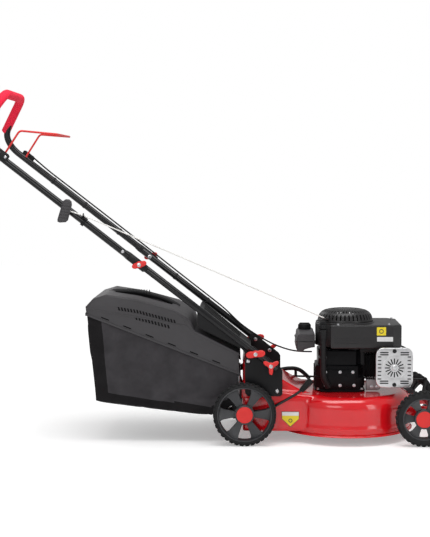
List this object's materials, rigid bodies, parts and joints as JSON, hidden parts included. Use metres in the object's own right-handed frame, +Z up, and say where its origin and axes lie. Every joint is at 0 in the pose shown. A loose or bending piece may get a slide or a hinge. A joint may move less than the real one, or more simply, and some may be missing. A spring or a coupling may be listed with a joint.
{
  "type": "push lawn mower",
  "caption": "Walk-behind petrol lawn mower: pressed deck with blade, vertical-shaft engine, spoked wheels on height cranks, folding tube handle with bail, and rear grass bag.",
  "frame": {"origin": "middle of the whole object's footprint, on the ground that the wheels stand on", "axes": "+X forward, from the handle to the front wheels; +Y to the machine's left; +Z up"},
  "size_m": [1.5146, 0.4806, 1.1459],
  "materials": {
    "red_paint": "gloss",
    "red_plastic": "satin",
    "black_paint": "semi-gloss",
    "black_plastic": "satin",
    "grey_plastic": "matt",
    "tyre_rubber": "matt",
    "bare_steel": "brushed",
    "cast_metal": "as cast",
    "bag_fabric": "woven",
    "grip_foam": "matt foam",
    "rope": "braided",
    "cable_jacket": "satin"
  },
  "bodies": {
    "root": {"deck_shell": "red_paint", "handle_bracket_right": "black_paint", "handle_bracket_left": "black_paint", "deck_lift_bar": "black_plastic", "crankcase": "black_paint", "cylinder": "cast_metal", "rocker_cover": "black_paint", "spark_plug": "black_plastic", "muffler": "cast_metal", "muffler_guard": "bare_steel", "blower_housing": "black_plastic", "starter_cover": "black_plastic", "fuel_tank": "grey_plastic", "oil_filler_tube": "black_plastic", "air_filter_cover": "black_plastic", "starter_rope_lower": "rope", "brake_cable_lower": "cable_jacket"},
    "rear_axle": {"rear_axle": "black_paint", "height_lever_grip": "black_plastic"},
    "front_axle": {"front_axle": "black_paint"},
    "link_rod": {"height_link_rod": "black_paint"},
    "rear_wheel_right": {"rear_wheel_right_tyre": "tyre_rubber", "rear_wheel_right_rim": "black_plastic", "rear_wheel_right_hub_cap": "red_plastic"},
    "rear_wheel_left": {"rear_wheel_left_tyre": "tyre_rubber", "rear_wheel_left_rim": "black_plastic", "rear_wheel_left_hub_cap": "red_plastic"},
    "front_wheel_right": {"front_wheel_right_tyre": "tyre_rubber", "front_wheel_right_rim": "black_plastic", "front_wheel_right_hub_cap": "red_plastic"},
    "front_wheel_left": {"front_wheel_left_tyre": "tyre_rubber", "front_wheel_left_rim": "black_plastic", "front_wheel_left_hub_cap": "red_plastic"},
    "crank_and_blade": {"crankshaft": "cast_metal", "blade_adapter": "cast_metal", "blade": "bare_steel", "blade_bolt": "bare_steel", "flywheel": "cast_metal"},
    "fuel_cap": {"fuel_cap": "black_plastic"},
    "oil_cap": {"oil_cap": "black_plastic"},
    "flap": {"rear_flap": "black_plastic"},
    "grass_bag": {"bag_lid": "grey_plastic", "bag_cloth": "bag_fabric", "bag_frame": "bare_steel"},
    "lower_handle": {"lower_tube_right": "black_paint", "lower_tube_left": "black_paint"},
    "upper_handle": {"upper_handle": "black_paint", "foam_grip": "grip_foam", "rope_guide": "bare_steel", "starter_rope_upper": "rope", "brake_cable_upper": "cable_jacket"},
    "bail": {"control_bail": "red_paint"},
    "starter_grip": {"starter_grip": "grey_plastic", "starter_rope_tail": "rope"},
    "handle_star_knob_right": {"handle_star_knob_right": "red_plastic"},
    "handle_bar_knob_right": {"handle_bar_knob_right": "red_plastic"},
    "fold_wing_nut_right": {"fold_wing_nut_right": "red_plastic"},
    "handle_star_knob_left": {"handle_star_knob_left": "red_plastic"},
    "handle_bar_knob_left": {"handle_bar_knob_left": "red_plastic"},
    "fold_wing_nut_left": {"fold_wing_nut_left": "red_plastic"}
  },
  "joints": [
    {"name": "height_lever_turn", "type": "hinge", "parent": "root", "child": "rear_axle", "pos_m": [0.14034, 0.01165, 0.105], "axis": [0, -1, 0], "range_deg": [-5, 24]},
    {"name": "front_axle_turn", "type": "hinge", "parent": "root", "child": "front_axle", "pos_m": [0.71334, 0.01165, 0.0925], "axis": [0, -1, 0], "range_deg": [-5, 24]},
    {"name": "link_rod_pivot", "type": "hinge", "parent": "rear_axle", "child": "link_rod", "pos_m": [0.15111, 0.01165, 0.16606], "axis": [0, -1, 0], "range_deg": [-24, 5]},
    {"name": "rear_wheel_right_spin", "type": "hinge", "parent": "rear_axle", "child": "rear_wheel_right", "pos_m": [0.09534, 0.01165, 0.1015], "axis": [0, 1, 0], "continuous": true},
    {"name": "rear_wheel_left_spin", "type": "hinge", "parent": "rear_axle", "child": "rear_wheel_left", "pos_m": [0.09534, 0.01165, 0.1015], "axis": [0, 1, 0], "continuous": true},
    {"name": "front_wheel_right_spin", "type": "hinge", "parent": "front_axle", "child": "front_wheel_right", "pos_m": [0.66834, 0.01165, 0.089], "axis": [0, 1, 0], "continuous": true},
    {"name": "front_wheel_left_spin", "type": "hinge", "parent": "front_axle", "child": "front_wheel_left", "pos_m": [0.66834, 0.01165, 0.089], "axis": [0, 1, 0], "continuous": true},
    {"name": "crankshaft_spin", "type": "hinge", "parent": "root", "child": "crank_and_blade", "pos_m": [0.43034, 0.01165, 0], "axis": [0, 0, 1], "continuous": true},
    {"name": "fuel_cap_turn", "type": "hinge", "parent": "root", "child": "fuel_cap", "pos_m": [0.29634, 0.05965, 0.346], "axis": [0, 0, 1], "range_deg": [0, 180]},
    {"name": "oil_cap_turn", "type": "hinge", "parent": "root", "child": "oil_cap", "pos_m": [0.35034, -0.10635, 0.368], "axis": [0, 0, 1], "range_deg": [0, 90]},
    {"name": "flap_hinge", "type": "hinge", "parent": "root", "child": "flap", "pos_m": [0.10834, 0.01165, 0.288], "axis": [0, 1, 0], "range_deg": [0, 42], "stiffness_Nm_per_rad": 0.6, "springref_deg": -68.75},
    {"name": "grass_bag_draw", "type": "slide", "parent": "root", "child": "grass_bag", "axis": [-1, 0, 0], "range_m": [0, 0.3]},
    {"name": "lower_handle_fold", "type": "hinge", "parent": "root", "child": "lower_handle", "pos_m": [0.17984, 0.01165, 0.257], "axis": [0, 1, 0], "range_deg": [0, 75], "deforming": ["starter_rope_lower", "brake_cable_lower"]},
    {"name": "upper_handle_fold", "type": "hinge", "parent": "lower_handle", "child": "upper_handle", "pos_m": [-0.23926, 0.01165, 0.5837], "axis": [0, 1, 0], "range_deg": [0, 115], "deforming": ["starter_rope_upper"]},
    {"name": "bail_hinge", "type": "hinge", "parent": "upper_handle", "child": "bail", "pos_m": [-0.67166, 0.01165, 0.934], "axis": [0, -1, 0], "range_deg": [0, 66], "stiffness_Nm_per_rad": 0.8, "springref_deg": -40.11},
    {"name": "starter_pull", "type": "slide", "parent": "upper_handle", "child": "starter_grip", "axis": [-0.7887, 0, 0.6148], "range_m": [0, 0.4], "stiffness_N_per_m": 15, "springref_m": -0.6, "deforming": ["starter_rope_tail"]},
    {"name": "star_knob_turn_right", "type": "hinge", "parent": "lower_handle", "child": "handle_star_knob_right", "pos_m": [0.17984, 0.01165, 0.257], "axis": [0, 1, 0], "continuous": true},
    {"name": "bar_knob_turn_right", "type": "hinge", "parent": "lower_handle", "child": "handle_bar_knob_right", "pos_m": [0.13039, 0.01165, 0.29555], "axis": [0, 1, 0], "continuous": true},
    {"name": "wing_nut_turn_right", "type": "hinge", "parent": "upper_handle", "child": "fold_wing_nut_right", "pos_m": [-0.23926, 0.01165, 0.5837], "axis": [0, 1, 0], "continuous": true},
    {"name": "star_knob_turn_left", "type": "hinge", "parent": "lower_handle", "child": "handle_star_knob_left", "pos_m": [0.17984, 0.01165, 0.257], "axis": [0, 1, 0], "continuous": true},
    {"name": "bar_knob_turn_left", "type": "hinge", "parent": "lower_handle", "child": "handle_bar_knob_left", "pos_m": [0.13039, 0.01165, 0.29555], "axis": [0, 1, 0], "continuous": true},
    {"name": "wing_nut_turn_left", "type": "hinge", "parent": "upper_handle", "child": "fold_wing_nut_left", "pos_m": [-0.23926, 0.01165, 0.5837], "axis": [0, 1, 0], "continuous": true}
  ],
  "couplings": [
    {"joint": "front_axle_turn", "follows": "height_lever_turn", "ratio": 1},
    {"joint": "link_rod_pivot", "follows": "height_lever_turn", "ratio": -1}
  ]
}
